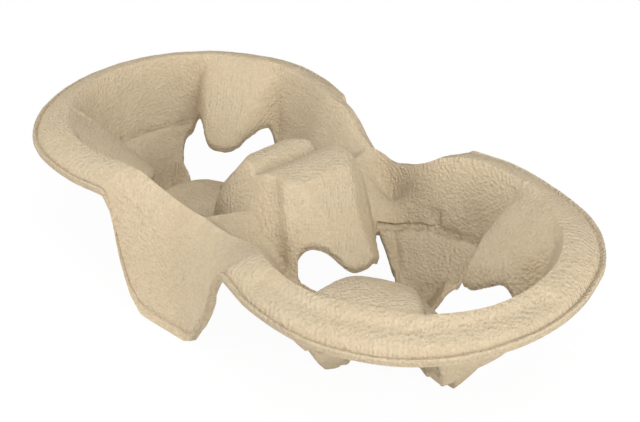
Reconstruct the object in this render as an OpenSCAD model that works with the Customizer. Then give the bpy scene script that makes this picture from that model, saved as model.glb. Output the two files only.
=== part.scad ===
// Two-cup carrier, one moulded pulp sheet, millimetres.
// X runs along both cups, Y from front (minus) to back, Z up.
// The origin is on the ground, midway between the two cups.
// The sheet is one height surface over the plan, given a thickness and then
// punched straight down: three openings round each cup leave three gripping
// tabs and three legs.

/* [Plan] */
// Overall length over both cup rings
length = 216; // [200:1:232]
// Radius of the trimmed outer edge of a cup ring
flange_radius = 57.2; // [55:0.2:60]
// Radius of the crest of a cup ring
crest_radius = 45.5; // [44.5:0.5:47.5]
// Half width of the ridge between the cups
waist_half_width = 36; // [33:0.5:39]
// Half width of the skirt where it reaches the ground
skirt_half_width = 47; // [45:0.5:50]

/* [Heights] */
// Height of the ring crest above the ground
crest_height = 50.4; // [48:0.2:54]
// Height of the upper face of the trimmed edge
flange_height = 46; // [43:0.5:48]
// Height of the ridge between the cups
waist_height = 42.3; // [39:0.5:46]
// Height of the ledge where a leg starts below the ring wall
ledge_height = 25.6; // [22:0.2:29]
// Height of the raised middle of a cup floor
hub_height = 11.5; // [8:0.5:12]
// Height of the block between the cups, above the ring crest
block_rise = 0.1; // [-3:0.1:4]

/* [Sheet] */
// Thickness of the pulp
sheet = 2.6; // [2:0.1:3]
// Thickness of the trimmed edge
edge_sheet = 2.8; // [2:0.1:3.4]

/* [Cup wells] */
// Radius of a well at the ledge
ledge_radius = 38.2; // [37:0.2:40]
// Step of the ledge
ledge_step = 0.9; // [0.4:0.1:1.4]
// Radius of a well at the foot of the legs
foot_radius = 24; // [22:0.5:26]
// Radius of the raised middle of the floor
hub_radius = 13; // [11:0.5:14]
// Half width of the lowest line of a foot
foot_half = 2.4; // [2:0.2:4]
// Sideways shift of the foot at the right end
foot_shift = 7; // [0:0.5:8]
// Distance the leg at the right end stands further in
end_inset = 2.6; // [0:0.2:3]

/* [Tabs] */
// Distance of a tab tip from the axis of its well
tip_radius = 16.5; // [15.5:0.5:18]
// Height of a tab tip
tip_height = 25.5; // [22:0.5:29]
// Radius of the rounded tip of a tab
tip_rounding = 6.8; // [5.5:0.2:7.5]
// Angle between the axis of a tab and the top of its flank
tab_spread = 20.5; // [19.5:0.5:21.5]
// Rise of the arched tab at the front of the right cup
front_rise = 10.5; // [0:0.5:11]

/* [Openings] */
// Distance of the outer end of an opening from the axis of its well
opening_reach = 30.4; // [29:0.2:32]

/* [Block] */
// Half length of the top of the block
block_half_x = 14.5; // [12:0.5:17]
// Half width of the top of the block
block_half_y = 12.5; // [11:0.5:14]
// Half width of the middle facet of an inner tab
facet_half = 6.5; // [5:0.5:8]
// Extra width of the block at its right back
block_back = 6; // [0:0.5:6.5]

/* [Hidden] */
well_x = length / 2 - flange_radius;
fold_angle = 180 - atan2(waist_half_width, well_x);
tabs = [60, 180, -60];
block_height = crest_height + block_rise;
deep = 200;

// Rays of one half, as angles round the axis of its well. They lie close where
// the flank of a tab stands. The rays past the ridge cross the block and end on
// the middle line, at the second number of each pair.
sector = [0, 5, 10, 16, 22, 28, 34, 37, 39.5, 46, 53];
mirror_sector = [for (i = [len(sector) - 1 : -1 : 1]) 120 - sector[i]];
side_rays = concat(sector, [60], mirror_sector,
    [for (part = [0, 0.2, 0.4, 0.7]) 120 + part * (fold_angle - 120)]);
cross = [for (part = [[0, 1], [0.14, 0.75], [0.26, 0.56], [0.35, 0.44], [0.42, 0.36],
        [0.56, 0.27], [0.72, 0.18], [0.86, 0.09]])
    [fold_angle + part[0] * (180 - fold_angle), part[1] * waist_half_width]];
rays = concat(side_rays, [for (c = cross) c[0]], [180],
    [for (i = [len(cross) - 1 : -1 : 0]) 360 - cross[i][0]],
    [for (i = [len(side_rays) - 1 : -1 : 1]) 360 - side_rays[i]]);
ledge_edge = ledge_radius + 0.6;
function end_y(a) = lookup(from_front(a), concat(cross, [[180, 0]]));

// Stations along a ray inside the crest, and from the crest to the edge.
inner_stations = [hub_radius, tip_radius - 1.1, tip_radius - 0.3,
    foot_radius - 4.5, foot_radius - 2, foot_radius + 1, foot_radius + 4,
    foot_radius + 7, 34.5, ledge_radius - 1.2, ledge_radius, ledge_edge];
crest_stations = [0.3, 0.62, 0.84, 1];
outer_stations = [0.2, 0.45, 0.75, 1];

function from_front(a) = a > 180 ? 360 - a : a;
function on_front(a) = a > 180;

// The lists of ridge and skirt hold for the drawn fold angle. Past the back of a
// leg an angle is brought to its place in them.
drawn_fold = 144.7;
function drawn_angle(a) = a < 120 ? a
    : 120 + (a - 120) * (drawn_fold - 120) / (fold_angle - 120);

// Ridge line of a ring, which leaves the circle near the middle. Its drop below
// the crest is given for the front, the left back and the right back.
ridge_out = [[0, 0, 0, 0], [110, 0, 0, 0], [120, 0.5, 1.6, 0.5],
    [125, 1.9, 3.8, 1.9], [130, 4.1, 6.4, 4.1], [137, 8.6, 9.6, 8.6]];
ridge_drop = [[104, 0, 0, 0], [110, 0.3, 0, 0.6], [120, 2.2, 0.6, 3.4],
    [125, 4, 1.4, 5.8], [130, 5.6, 3, 7.8], [137, 7.5, 6.3, 9.6]];
fold_out = norm([well_x, waist_half_width]) - crest_radius;
fold_drop = crest_height - waist_height;
function column(t, last, k) = [for (q = concat(t, [last])) [q[0], q[k]]];
function part_of(a, h) = on_front(a) ? 1 : h < 0 ? 2 : 3;
function ridge_r(a, h) = crest_radius + lookup(drawn_angle(from_front(a)),
    column(ridge_out, [drawn_fold, fold_out, fold_out, fold_out], part_of(a, h)));
function ridge_z(a, h) = crest_height - lookup(drawn_angle(from_front(a)),
    column(ridge_drop, [drawn_fold, fold_drop, fold_drop + 0.8, fold_drop + 0.8],
        part_of(a, h)));

// Trimmed edge: a flat lip round the ring, then a skirt that runs down to the
// ground at the middle. One side of a skirt is full, the other side slants.
// Both lists hold for the drawn flange radius and height, and stretch with them.
drawn_radius = 57.2;
drawn_height = 46;
stretch = [1, flange_radius / drawn_radius, flange_radius / drawn_radius,
    flange_height / drawn_height];
skirt_full = [[115, 27.2, 53.4, 40], [120, 25, 53.2, 22],
    [125, 22.8, 52.2, 9.5], [130, 19.2, 50.8, 2.4], [137, 10.6, 48.4, 0]];
skirt_slant = [[115, 24.8, 53, 40.5], [120, 20.4, 52.2, 30],
    [125, 15.2, 50.6, 20.5], [130, 10, 49, 12.5], [137, 4.2, 47.6, 3.6]];
function skirt_row(a, t) =
    let (p = concat(
        [for (q = concat([[104, 36.8, 55.2, drawn_height], [110, 29.8, 53.8, drawn_height]], t))
            [for (k = [0 : 3]) q[k] * stretch[k]]],
        [[drawn_fold, 0, skirt_half_width, 0]]))
    [for (k = [1 : 3]) lookup(drawn_angle(a), [for (q = p) [q[0], q[k]]])];
function edge_point(a, full) = a < 104
    ? [well_x + flange_radius * cos(a), flange_radius * sin(a), flange_height]
    : skirt_row(a, full ? skirt_full : skirt_slant);

function blend_max(a, b, k) =
    let (h = max(0, min(1, 0.5 + 0.5 * (a - b) / k)))
    b * (1 - h) + a * h + k * h * (1 - h);

// Ring wall, leg and floor at distance r from the axis, on the ray a. The leg
// at the right end stands further in.
function inset(r, a, h) = h < 0 || cos(a) < cos(50) ? 0
    : end_inset * cos(1.8 * (a > 180 ? a - 360 : a))
        * max(0, min(1, (ledge_radius - r) / 6));
function wall_z(r, a, h) = r < ledge_edge
    ? lookup(r + inset(r, a, h), [[0, hub_height], [hub_radius, hub_height - 0.5],
        [tip_radius - 1, hub_height - 1], [foot_radius - 4.5, 6],
        [foot_radius - 2.1, sheet], [foot_radius + 1.1, sheet],
        [foot_radius + 4, 7.2], [foot_radius + 7, 12.5], [ledge_radius - 1.2, ledge_height - ledge_step],
        [ledge_radius, ledge_height - 0.3], [ledge_edge, ledge_height + 0.8]])
    : let (top = ridge_z(a, h), z0 = ledge_height + 0.8,
           t = min(1, (r - ledge_edge) / max(1, ridge_r(a, h) - ledge_edge)))
      min(top, z0 + (top - z0) * (1.12 * t - 0.12 * pow(t, 6)));

// The foot of a leg is a keel: it rises on both sides of its lowest line.
function keel_z(r, a, k, right) =
    let (l = r * cos(a - 120 * k), m = r * sin(a - 120 * k),
         shift = k == 0 && right ? foot_shift : 0,
         half = k == 0 && right ? foot_half * 2.5 : foot_half,
         rise = min(10.4, 1.6 * max(0, abs(m - shift) - half)))
    l < 0 ? 0 : sheet + rise * max(0, min(1, (l - foot_radius + 11) / 7))
        * max(0, min(1, (foot_radius + 9 - r) / 3));

// Height lost on a flank that starts at the given angle from a tab axis.
function flank(q, s, spread) = max(3.2, 70 / q) * max(0, s - q * tan(spread));

// A tab slopes from the crest down to its tip, with steep flanks. Its line runs
// from the tip, 0, to the crest, 1, and so does the arch of the front tab.
tab_line = [[0, 0], [0.19, 0.22], [0.4, 0.43], [0.6, 0.67], [0.81, 0.865],
    [0.95, 0.976], [1, 1]];
tab_arch = [[0, 0.55], [0.19, 1], [0.4, 1], [0.6, 0.65], [0.81, 0.3], [0.95, 0], [1, 0]];
function tab_z(r, a, k, rise) =
    let (u = a - tabs[k], q = r * cos(u), s = abs(r * sin(u)),
         t = (q - tip_radius) / (crest_radius - tip_radius),
         z = tip_height + (crest_height - tip_height) * lookup(t, tab_line)
             + rise * lookup(t, tab_arch))
    q < tip_radius - 1 ? 0 : z - 5 * pow(s / r, 2) - flank(q, s, tab_spread);

// Block between the wells, whose ends run on as the two inner tabs. A groove
// across its top parts a left and a right lobe. The right lobe is wider at the
// back, and narrows again towards its tab.
groove_x = -3.2;
wide_from = -3;
wide_to = 27;
block_spread = 28;
function block_z(x, y) =
    let (u = abs(x), d = u - block_half_x,
         wide = block_back * max(0, min(1, (x - wide_from) / 6, (wide_to - x) / 13)),
         v = y < 0 ? -y : max(0, y - wide),
         roof = lookup(x, [[tip_radius - well_x, tip_height + 1],
             [-20.6, block_height - 10.2], [-block_half_x, block_height - 3.4],
             [-9, block_height - 0.8], [groove_x, block_height - 2.2],
             [2, block_height], [9, block_height],
             [block_half_x, block_height - 2],
             [20.6, block_height - 8.8], [29, block_height - 19.4],
             [well_x - tip_radius, tip_height + 1]]),
         side = block_height - 1.6 - 1.1 * d
             - 0.9 * (v - facet_half),
         front = roof - 2.4 * (v - block_half_y))
    well_x - u < tip_radius - 1 ? 0
    : min(roof, side, front) - flank(well_x - u, abs(y), block_spread);

// Upper face of the sheet in the half h, 1 for the right and -1 for the left.
function surface_z(r, a, h) =
    let (x = well_x + r * cos(a), y = r * sin(a), b = a > 180 ? a - 360 : a,
         w = max(wall_z(r, a, h), keel_z(r, b, 0, h > 0),
             keel_z(r, a, 1, false), keel_z(r, a, 2, false)),
         t1 = blend_max(w, tab_z(r, a, 0, 0), 2),
         t2 = blend_max(t1, tab_z(r, b, 2, h > 0 ? front_rise : 0), 2))
    blend_max(t2, block_z(h * x, y), 2);

// Upright thickness that keeps the sheet even on a slope.
function slope(r, a, h) =
    let (d = 0.7, e = d / max(r, 6) * 180 / PI,
         gr = (surface_z(r + d, a, h) - surface_z(max(0, r - d), a, h)) / (2 * d),
         ga = (surface_z(r, a + e, h) - surface_z(r, a - e, h)) / (2 * d))
    norm([gr, ga]);
function depth_at(r, a, h) =
    sheet * min(lookup(r, [[30, 1.35], [ledge_radius, 1.8], [ledge_edge, 2.4]]),
        sqrt(1 + pow(min(slope(r, a, h), 4), 2)));

// Two stations follow the straight gap between the hub and a tab tip.
tip_stations = [1, 2];
function tab_turn(a) = min([for (b = concat(tabs, 300)) abs(a - b)]);
function station_r(a, i) = inner_stations[i]
    / (i == tip_stations[0] || i == tip_stations[1] ? cos(min(30, tab_turn(a))) : 1);

// Plan position of a station on a ray: past the ridge the ray ends at the middle.
function station_xy(a, i, h) =
    let (sy = on_front(a) ? -1 : 1,
         k = i - len(inner_stations), t = k < 0 ? 0 : crest_stations[k])
    k < 0 ? station_r(a, i) * [cos(a), sin(a)]
    : from_front(a) < fold_angle - 0.01
    ? (ledge_edge + (ridge_r(a, h) - ledge_edge) * t) * [cos(a), sin(a)]
    : ledge_edge * (1 - t) * [cos(a), sin(a)] + t * [-well_x, sy * end_y(a)];
inner_count = len(inner_stations) + len(crest_stations);
function turn_of(p) = let (b = atan2(p[1], p[0])) b < 0 ? b + 360 : b;

// Upper and lower point of the sheet on ray a, station i. The halves share the
// points of the middle line.
function inner_pair(a, i, h) =
    let (p = station_xy(a, i, h), r = norm(p), b = turn_of(p),
         f = from_front(a), last = i == inner_count - 1,
         middle = last && f > fold_angle - 0.01,
         x = middle ? 0 : well_x + p[0], g = middle ? 1 : h,
         crest = last && f < fold_angle + 0.01,
         z = crest ? ridge_z(a, h) : surface_z(r, b, g),
         d = crest ? sheet * 1.15 : depth_at(r, b, g))
    [[x, p[1], z], [x, p[1], max(0, z - d)]];

// The outer face bulges over the ring and drops steeply down a skirt.
function outer_pair(a, t, h) =
    let (f = from_front(a), sy = on_front(a) ? -1 : 1,
         rr = ridge_r(a, h), rz = ridge_z(a, h),
         mid = f > fold_angle - 0.01,
         p = mid ? [0, waist_half_width]
                 : [well_x + rr * cos(f), rr * sin(f)],
         e = edge_point(f, h < 0),
         drop = rz - e[2], k = max(0, min(1, (drop - 4) / 18)),
         go = (1 - k) * t + k * lookup(t, [[0, 0], [0.2, 0.45], [0.5, 0.75], [1, 1]]),
         full = h < 0 && sy > 0 && !mid ? 0.1 : 0,
         fall = (1 - k) * pow(t, 1.6)
             + k * lookup(t, [[0, 0], [0.2, 0.14 - full], [0.5, 0.46 - full], [1, 1]]),
         v = [e[0] - p[0], e[1] - p[1]], n = v / norm(v),
         top = [p[0] + v[0] * go, p[1] + v[1] * go, rz - drop * fall],
         back = sheet * k * min(1, t / 0.3),
         down = (1 - k) * (sheet * 1.15 + (edge_sheet - sheet * 1.15) * t)
             + k * sheet * 1.3 * (1 - t),
         low = [top[0] - n[0] * back, top[1] - n[1] * back, top[2] - down])
    [[top[0], sy * top[1], top[2]], [low[0], sy * low[1], max(0, low[2])]];

ray_count = len(rays);
open_rays = [for (i = [0 : ray_count - 1])
    if (from_front(rays[i]) < fold_angle + 0.01) i];
// Rays that carry the outer zone, ordered from the front middle round the ring
// to the back middle.
back_rays = [for (i = open_rays) if (rays[i] <= 180) i];
front_rays = [for (i = open_rays) if (rays[i] > 180) i];
run = concat(front_rays, back_rays);

// All points of one layer of one half.
function half_points(h, layer) =
    let (m = function(p) [h * p[0], p[1], p[2]])
    concat(
        [m([well_x, 0, surface_z(0, 0, h) - (layer == 1 ? sheet : 0)])],
        [for (a = rays) for (i = [0 : inner_count - 1])
            m(inner_pair(a, i, h)[layer])],
        [for (j = run) for (t = outer_stations)
            m(outer_pair(rays[j], t, h)[layer])]);

outer_count = len(outer_stations);
half_size = 1 + ray_count * inner_count + len(run) * outer_count;

function inner_id(i, s) = 1 + (i % ray_count) * inner_count + s;
function outer_id(j, s) = s < 0
    ? inner_id(run[j], inner_count - 1)
    : 1 + ray_count * inner_count + j * outer_count + s;

// Faces of one sheet layer, seen from above in turning order.
layer_faces = concat(
    [for (i = [0 : ray_count - 1]) [0, inner_id(i, 0), inner_id(i + 1, 0)]],
    [for (i = [0 : ray_count - 1]) for (s = [0 : inner_count - 2])
        each quad(inner_id(i, s), inner_id(i, s + 1), inner_id(i + 1, s + 1),
            inner_id(i + 1, s))],
    [for (j = [0 : len(run) - 2]) for (s = [-1 : outer_count - 2])
        each quad(outer_id(j, s), outer_id(j, s + 1), outer_id(j + 1, s + 1),
            outer_id(j + 1, s))]);
function quad(a, b, c, d) = [[a, b, c], [a, c, d]];

// Rim faces join the two layers along the trimmed edge.
rim_faces = [for (j = [0 : len(run) - 2])
    each quad(outer_id(j, outer_count - 1),
        outer_id(j, outer_count - 1) + half_size,
        outer_id(j + 1, outer_count - 1) + half_size,
        outer_id(j + 1, outer_count - 1))];

function turned(f) = [f[2], f[1], f[0]];
function shifted(f, n) = [for (v = f) v + n];
half_faces = concat(
    [for (f = layer_faces) turned(f)],
    [for (f = layer_faces) shifted(f, half_size)],
    [for (f = rim_faces) turned(f)]);

// The whole sheet before punching.
module blank() {
    points = concat(half_points(1, 0), half_points(1, 1),
        half_points(-1, 0), half_points(-1, 1));
    faces = concat(half_faces,
        [for (f = half_faces) turned(shifted(f, 2 * half_size))]);
    polyhedron(points = points, faces = faces, convexity = 12);
}

module spot(q, s, r) { translate([q, s]) circle(r = r, $fn = 16); }

// Outline of one opening, tab axis along plus X: a field between two legs and
// the hub, less the tongue of the tab.
module opening_outline() {
    reach = opening_reach - 3;
    side = reach * 0.53;
    difference() {
        union() {
            for (m = [-1, 1]) {
                hull() { spot(reach, m * side, 3); spot(20.5, m * 15, 3); }
                hull() { spot(20.5, m * 15, 3); spot(15.8, m * 8.2, 1.2); spot(22, m * 9, 2); }
                hull() { spot(reach, m * side, 3); spot(20.5, m * 15, 3); spot(24, m * 10, 2); }
                hull() { spot(15.8, m * 8.2, 1.2); spot(15.9, 0, 1.1); spot(21, m * 7, 2); }
            }
        }
        hull() {
            spot(tip_radius + tip_rounding, 0, tip_rounding);
            for (m = [-1, 1]) spot(reach + 2, m * (side - 4.6), 1.6);
        }
    }
}

module openings() {
    for (m = [0, 1]) mirror([m, 0, 0]) translate([well_x, 0, -deep / 4])
        for (a = tabs) rotate(a)
            linear_extrude(height = deep) opening_outline();
}

module carrier() {
    color([0.84, 0.78, 0.65])
    difference() {
        blank();
        openings();
    }
}

carrier();
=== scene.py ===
# %% [markdown]
# # A moulded pulp carrier for two cups
# The real object is one sheet of paper pulp. Wet fibres are sucked on to a wire
# mould, pressed and dried, and then the edge and six openings are punched out.
# It could be sculpted by hand or cut from boxes and cones. But a moulding has one
# height at each place in plan, so formulas for that height give the whole sheet
# at once, and a size can be changed without drawing the rest again. The script
# follows the factory: shape the sheet, punch it, dent it and finish it.

# %% Bring in the measured part
import math
import bpy
import numpy as np
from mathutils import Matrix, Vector, noise


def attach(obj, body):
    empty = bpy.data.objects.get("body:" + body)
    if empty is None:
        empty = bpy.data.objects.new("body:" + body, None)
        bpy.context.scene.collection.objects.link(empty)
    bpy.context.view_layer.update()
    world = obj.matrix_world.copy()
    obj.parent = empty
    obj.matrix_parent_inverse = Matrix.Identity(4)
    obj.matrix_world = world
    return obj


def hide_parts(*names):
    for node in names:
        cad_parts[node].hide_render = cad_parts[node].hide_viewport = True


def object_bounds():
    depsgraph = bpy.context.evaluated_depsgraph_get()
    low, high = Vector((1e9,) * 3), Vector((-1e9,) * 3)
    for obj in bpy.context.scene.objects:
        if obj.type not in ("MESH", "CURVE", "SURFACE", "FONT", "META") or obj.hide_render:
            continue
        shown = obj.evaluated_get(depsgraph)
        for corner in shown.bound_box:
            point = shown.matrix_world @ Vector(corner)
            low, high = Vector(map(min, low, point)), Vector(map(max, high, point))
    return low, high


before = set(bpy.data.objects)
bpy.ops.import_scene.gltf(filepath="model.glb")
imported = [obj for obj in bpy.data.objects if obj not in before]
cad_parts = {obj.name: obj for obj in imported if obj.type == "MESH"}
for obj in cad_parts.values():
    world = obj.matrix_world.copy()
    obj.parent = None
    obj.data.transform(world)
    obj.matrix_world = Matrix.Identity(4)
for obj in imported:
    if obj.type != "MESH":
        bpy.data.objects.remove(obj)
box_before = [list(corner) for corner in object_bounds()]
print("the measured part spans", np.round(box_before, 4).tolist(), "metres")

# %% [markdown]
# ## Sizes
# The carrier is a pair of wells, and both are described in the same way, in
# millimetres. Round a well, r is the distance from its axis and a is the angle in
# degrees: 0 points to the end of the carrier and 180 to its middle. A half is 1
# on the right and -1 on the left, where x is mirrored. The main sizes are those
# of the measured part, so that the fine sheet lies in the same place. Nearer to
# the photograph, the sheet is thinner than in that part, the hub .8 mm higher and
# the arch of one tab 1.7 mm higher.

# %% Main sizes
MM = .001  # in metres
FLANGE_R, CREST_R, LEDGE_R, TIP_R, GAP_R = 57.2, 45.5, 38.2, 16.5, 16.1
WELL_X = round(box_before[1][0] / MM, 2) - FLANGE_R
CREST_Z, FLANGE_Z, WAIST_Z, LEDGE_Z, HUB_Z = 50.4, 46.0, 42.3, 25.6, 12.3
WAIST_Y, SKIRT_Y = 36.0, 47.0
SHEET, EDGE_SHEET = 2.1, 2.6
CREST_SHEET = SHEET * 1.15
LEDGE_EDGE, LEDGE_TOP = LEDGE_R + .6, LEDGE_Z + .8
FOLD = 180 - math.degrees(math.atan2(WAIST_Y, WELL_X))
NEAR_ANGLE = .01  # a smaller difference counts as the same angle
print("a well stands", WELL_X, "mm from the middle, and the ridge folds at", round(FOLD, 1), "degrees")

# %% [markdown]
# ## Small tools
# A real mould has no sharp kinks, because its wire mesh can't follow them. A
# spline would swing out between stations, so a profile here is a line through a
# few points that is then smoothed over a stated length. Two faces that meet are
# joined by a round of a stated width, which is how a mould maker thinks of them.

# %% Profiles and blends
STATIONS = 2001


def profile(points, soften):
    """A curve through points, rounded off over about the given distance."""
    at, values = np.array(points, float).T
    grid = np.linspace(at[0], at[-1], STATIONS)
    line = np.interp(grid, at, values)
    reach = max(1, int(soften / (grid[1] - grid[0])))
    weights = np.hanning(2 * reach + 3)[1:-1]
    weights /= weights.sum()
    before = 2 * line[0] - line[reach:0:-1]
    after = 2 * line[-1] - line[-2:-reach - 2:-1]
    smooth = np.convolve(np.concatenate([before, line, after]), weights, "valid")
    return lambda x: np.interp(x, grid, smooth)


def higher(one, other, join):
    """The higher of two faces, with a rounded join of the given width."""
    share = np.clip(0.5 + 0.5 * (one - other) / join, 0, 1)
    return other * (1 - share) + one * share + join * share * (1 - share)


def lower(one, other, join):
    return -higher(-one, -other, join)


def fade(value, start, length):
    """0 up to start, and 1 from start + length on."""
    return np.clip((value - start) / length, 0, 1)


print("a join 4 mm wide fills an even corner by", higher(0.0, 0.0, 4.0), "mm")


# %% Angles
def mirrored(a):
    """The same angle on the back side, from 0 to 180."""
    return np.where(a > 180, 360 - a, a)


def turned(a, centre):
    """The angle from a centre line, from -180 to 180."""
    return (a - centre + 180) % 360 - 180


def polar(x, y):
    return np.hypot(x, y), np.degrees(np.arctan2(y, x)) % 360


print("350 degrees lies", turned(350, 0), "degrees from the end of the carrier")

# %% [markdown]
# ## The ridge
# The ridge is the highest line of the sheet. It runs round each ring, leaves the
# circle near the middle and sags to the waist. The left back corner stays high
# for longer than the other three. It could be one drawn curve. As a distance out
# of the circle and a drop below the crest, it stays tied to both sizes.

# %% Ridge line
RIDGE_SOFT = 3
BACK_SAG = .8  # the waist hangs a little lower at the back
USUAL_OUT = [(0, 0), (110, 0), (120, .5), (125, 1.9), (130, 4.1), (137, 8.6)]
RIDGE_OUT = {"front": USUAL_OUT, "right back": USUAL_OUT,
             "left back": [(0, 0), (110, 0), (120, 1.6), (125, 4.2), (130, 7.2), (137, 10.2)]}
RIDGE_DROP = {"front": [(0, 0), (104, 0), (110, .3), (120, 2.2), (125, 4), (130, 5.6), (137, 7.5)],
              "left back": [(0, 0), (104, 0), (110, 0), (120, .5), (125, .9), (130, 2), (137, 5.2)],
              "right back": [(0, 0), (104, 0), (110, .6), (120, 3.4), (125, 6.0), (130, 8.3), (137, 10)]}
FOLD_OUT = math.hypot(WELL_X, WAIST_Y) - CREST_R
FOLD_DROP = {corner: CREST_Z - WAIST_Z + (0 if corner == "front" else BACK_SAG) for corner in RIDGE_DROP}
out_curve = {corner: profile(points + [(FOLD, FOLD_OUT)], RIDGE_SOFT)
             for corner, points in RIDGE_OUT.items()}
drop_curve = {corner: profile(points + [(FOLD, FOLD_DROP[corner])], RIDGE_SOFT)
              for corner, points in RIDGE_DROP.items()}


def by_corner(curves, a, half):
    back = curves["left back" if half < 0 else "right back"](mirrored(a))
    return np.where(a > 180, curves["front"](mirrored(a)), back)


def ridge_r(a, half):
    return CREST_R + by_corner(out_curve, a, half)


def ridge_z(a, half):
    return CREST_Z - by_corner(drop_curve, a, half)


print("at 120 degrees the ridge is", [round(float(ridge_z(120, half)), 1) for half in (-1, 1)], "mm high")

# %% [markdown]
# ## Wall and ledge
# A cup stands in a cone. Under a small ledge the cone narrows to a moat round a
# raised hub. A lathe could turn this shape, but the ridge isn't round. So the
# cone is stretched at each angle from the ledge to the ridge. Two legs of the
# right well were pressed in a little when it left the mould.

# %% Wall and ledge
WALL = profile([(0, HUB_Z), (13, HUB_Z - .5), (15.5, HUB_Z - .9), (19.5, 6.5), (21.9, 2.6),
                (25.1, 2.6), (28, 7.2), (31, 12.5), (LEDGE_R - 1.2, LEDGE_Z - 1.2),
                (LEDGE_R - .5, LEDGE_Z - 1.5), (LEDGE_R, LEDGE_Z - .2), (LEDGE_EDGE, LEDGE_TOP)], .2)
LEG_INSETS = [(0, 50, 2.6), (240, 45, .8)]  # right well: angle, half its width in degrees, depth
INSET_OVER = 6
CONE_SWELL, CONE_ROUND = .12, 6  # the wall stands out of a straight cone and rounds over at the crest


def leg_inset(r, a):
    depth = 0
    for centre, width, deepest in LEG_INSETS:
        turn = np.abs(turned(a, centre))
        depth = depth + np.where(turn < width, deepest * np.cos(np.radians(90 * turn / width)), 0)
    return depth * fade(LEDGE_R - r, 0, INSET_OVER)


def wall_z(r, a, half):
    inset = leg_inset(r, a) if half > 0 else 0
    top = ridge_z(a, half)
    t = fade(r, LEDGE_EDGE, np.maximum(1, ridge_r(a, half) - LEDGE_EDGE))
    rise = (1 + CONE_SWELL) * t - CONE_SWELL * t ** CONE_ROUND
    cone = np.minimum(top, LEDGE_TOP + (top - LEDGE_TOP) * rise)
    return np.where(r < LEDGE_EDGE, WALL(r + inset), cone)


print("the wall is", round(float(wall_z(42.0, 0.0, 1)), 1), "mm high half way from the ledge to the crest")

# %% [markdown]
# ## Feet
# The carrier stands on three keels in each well, which are the lowest strips of
# the moat. They could be added as ribs. On a mould they are what is left when the
# moat rises to both sides of a leg, so they are made in that way. The foot at the
# end of the right well is wider and stands a little aside.

# %% Feet
LEG_ANGLES = (0, 120, 240)
KEEL, END_KEEL = (0, 2.4), (7, 6)  # shift to the side, and half the width
KEEL_SLOPE, KEEL_RISE = 1.6, 10.4
KEEL_START, KEEL_END = (13, 7), (33, 3)  # distance from the axis, and the length of the fade


def keel_z(r, a, leg, half):
    turn = np.radians(a - leg)
    along, across = r * np.cos(turn), r * np.sin(turn)
    shift, width = END_KEEL if leg == 0 and half > 0 else KEEL
    rise = np.minimum(KEEL_RISE, KEEL_SLOPE * np.maximum(0, np.abs(across - shift) - width))
    held_to = fade(along, *KEEL_START) * fade(KEEL_END[0] - r, 0, KEEL_END[1])
    return np.where(along < 0, 0, SHEET + rise * held_to)


print("the moat is", round(float(keel_z(24.0, 15.0, 0, -1)), 1), "mm high 15 degrees from a foot")

# %% [markdown]
# ## Tabs
# Three tabs lean in from the crest of each well and grip the cup. A tab could be
# a separate tongue joined to the wall, but pulp has no joint there. It is a face
# along its own axis, with q out from the well and s to the side, and it falls
# away on two flanks. The front tab of the right well arches up out of the others.

# %% Tabs
TABS = (60, 180, 300)
TIP_Z, TAB_SPREAD, FRONT_RISE = 25.5, 20.5, 12.2
CROWN = 5  # how far a tab sinks from its middle to its sides
SHOULDER = 1.5  # the width over which a face rounds over into its flank
FLANK_SLOPE, FLANK_NEAR_AXIS = 3.2, 70  # nearer than 70 / 3.2 mm to the axis a flank gets steeper
TAB = profile([(10, 22), (TIP_R, TIP_Z), (22, TIP_Z + 5.5), (28, 36.2), (34, 42.2),
               (40, 47), (44, CREST_Z - .6), (48, CREST_Z - .2)], 2.0)
ARCH = profile([(10, .3), (TIP_R, .55), (22, 1), (28, 1), (34, .66), (40, .34), (44, .08),
                (47, 0), (48, 0)], 2.0)


def flank(q, s, spread):
    """Height lost on a flank that starts at the given angle from a tab's axis."""
    past = s - q * math.tan(math.radians(spread))
    rounded = (past + np.sqrt(past ** 2 + SHOULDER ** 2)) / 2
    return np.maximum(FLANK_SLOPE, FLANK_NEAR_AXIS / np.maximum(q, 1)) * rounded


def tab_z(r, a, centre, rise):
    turn = np.radians(turned(a, centre))
    q, s = r * np.cos(turn), np.abs(r * np.sin(turn))
    face = TAB(q) + rise * ARCH(q) - CROWN * (s / np.maximum(r, 1)) ** 2
    return np.where(q < GAP_R, 0, face - flank(q, s, TAB_SPREAD))


print("a tab is", round(float(tab_z(24.0, 60.0, 60, 0)), 1), "mm high 24 mm from the axis")

# %% [markdown]
# ## The block
# A hollow block stands between the wells, and its ends run on as the two inner
# tabs. Its top has two lobes with a step between them. It could be a loft between
# sections. Here a roof line runs along it and two sloping facets cut that roof
# down to its sides, as a mould maker mills it. Its back bulges in two places.

# %% Block
BLOCK_SPREAD = 28
ROOF = profile([(-40, 21), (-34.3, 26.2), (-29.1, 31.2), (-20.6, 40.2), (-14.5, 48.3), (-12.5, 49.6),
                (-9, 50.4), (-5.6, 49.6), (-3.2, 47.2), (-.8, 48.8), (2, 50.6), (5, 51.0), (9, 50.6),
                (13.3, 49.6), (20.6, 41.8), (29.1, 31.2), (34.3, 26.2), (40, 21)], .9)
BACK_SWELLS = [(6.0, -3, 6, 27, 13), (1.7, -34, 12, -4, 5)]  # width, start, rise over, end, fall over
FACET_AT, FACET_Z = (13.3, 4.6), 51.6
FACET_FALL, FACET_FALL_FRONT, FACET_FALL_BACK = 1.2, .75, 1.1
SIDE_AT, SIDE_Z = (4.5, 13.2), 48.6
SIDE_FALL_ALONG, SIDE_FALL_ACROSS = .1, 2.3
FACET_JOIN, SIDE_JOIN = 1.0, 1.6


def back_swell(x):
    """How far the back of the block stands out, at x along the carrier."""
    return sum(width * np.minimum(fade(x, start, rise), fade(-x, -end, fall))
               for width, start, rise, end, fall in BACK_SWELLS)


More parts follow.
